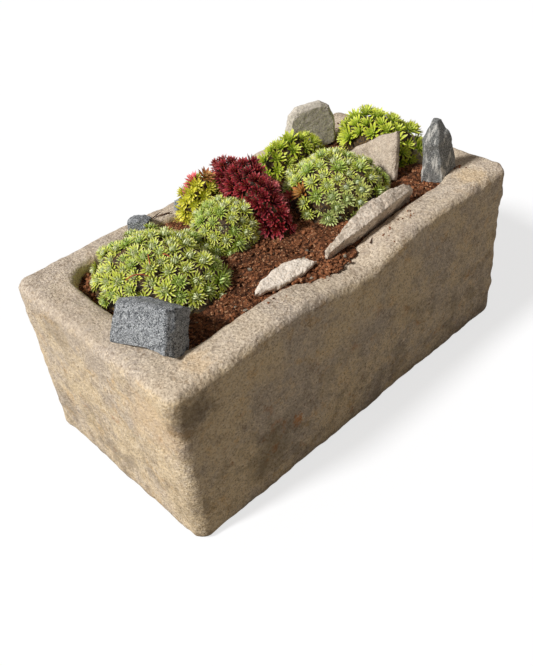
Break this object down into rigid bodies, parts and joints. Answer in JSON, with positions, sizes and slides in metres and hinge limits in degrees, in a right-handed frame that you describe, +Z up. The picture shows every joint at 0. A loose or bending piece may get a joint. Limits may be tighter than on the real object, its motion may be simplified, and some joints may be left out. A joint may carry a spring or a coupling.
{
  "type": "planted stone trough",
  "caption": "Hand-cut sandstone water trough with a worn, wavy rim, planted with cushions of houseleeks among broken stones.",
  "frame": {"origin": "on the floor, at the middle of the trough's foot", "axes": "+X along the long walls to the far end, -Y out of the front long wall with the worn rim, +Z up"},
  "size_m": [0.8195, 0.4393, 0.4515],
  "materials": {
    "sandstone": "weathered sandstone, hand-tooled and worn smooth at the rim",
    "terracotta": "unglazed terracotta, broken edges",
    "gravel": "washed gravel",
    "compost": "gritty dark compost",
    "granite": "rough-split grey granite",
    "speckled_stone": "grey stone with pale specks",
    "pale_sandstone": "pale split sandstone",
    "dark_slate": "dark broken slate",
    "white_stone": "pale flaking stone",
    "green_leaf": "fleshy green leaves",
    "yellow_leaf": "fleshy yellow-green leaves",
    "red_leaf": "fleshy dark red leaves",
    "bright_leaf": "fleshy bright green leaves"
  },
  "bodies": {
    "root": {"trough": "sandstone", "lower_crock": "terracotta", "upper_crock": "terracotta", "drainage_gravel": "gravel", "compost": "compost", "granite_sett": "granite", "large_granite": "granite", "small_granite": "granite", "upright_slab": "speckled_stone", "triangular_slab": "pale_sandstone", "pointed_rock": "dark_slate", "leaning_slab": "pale_sandstone", "flat_slab": "white_stone", "near_clump": "green_leaf", "middle_clump": "green_leaf", "yellow_clump": "yellow_leaf", "red_clump": "red_leaf", "centre_clump": "green_leaf", "back_clump": "bright_leaf", "far_clump": "bright_leaf"}
  },
  "joints": []
}
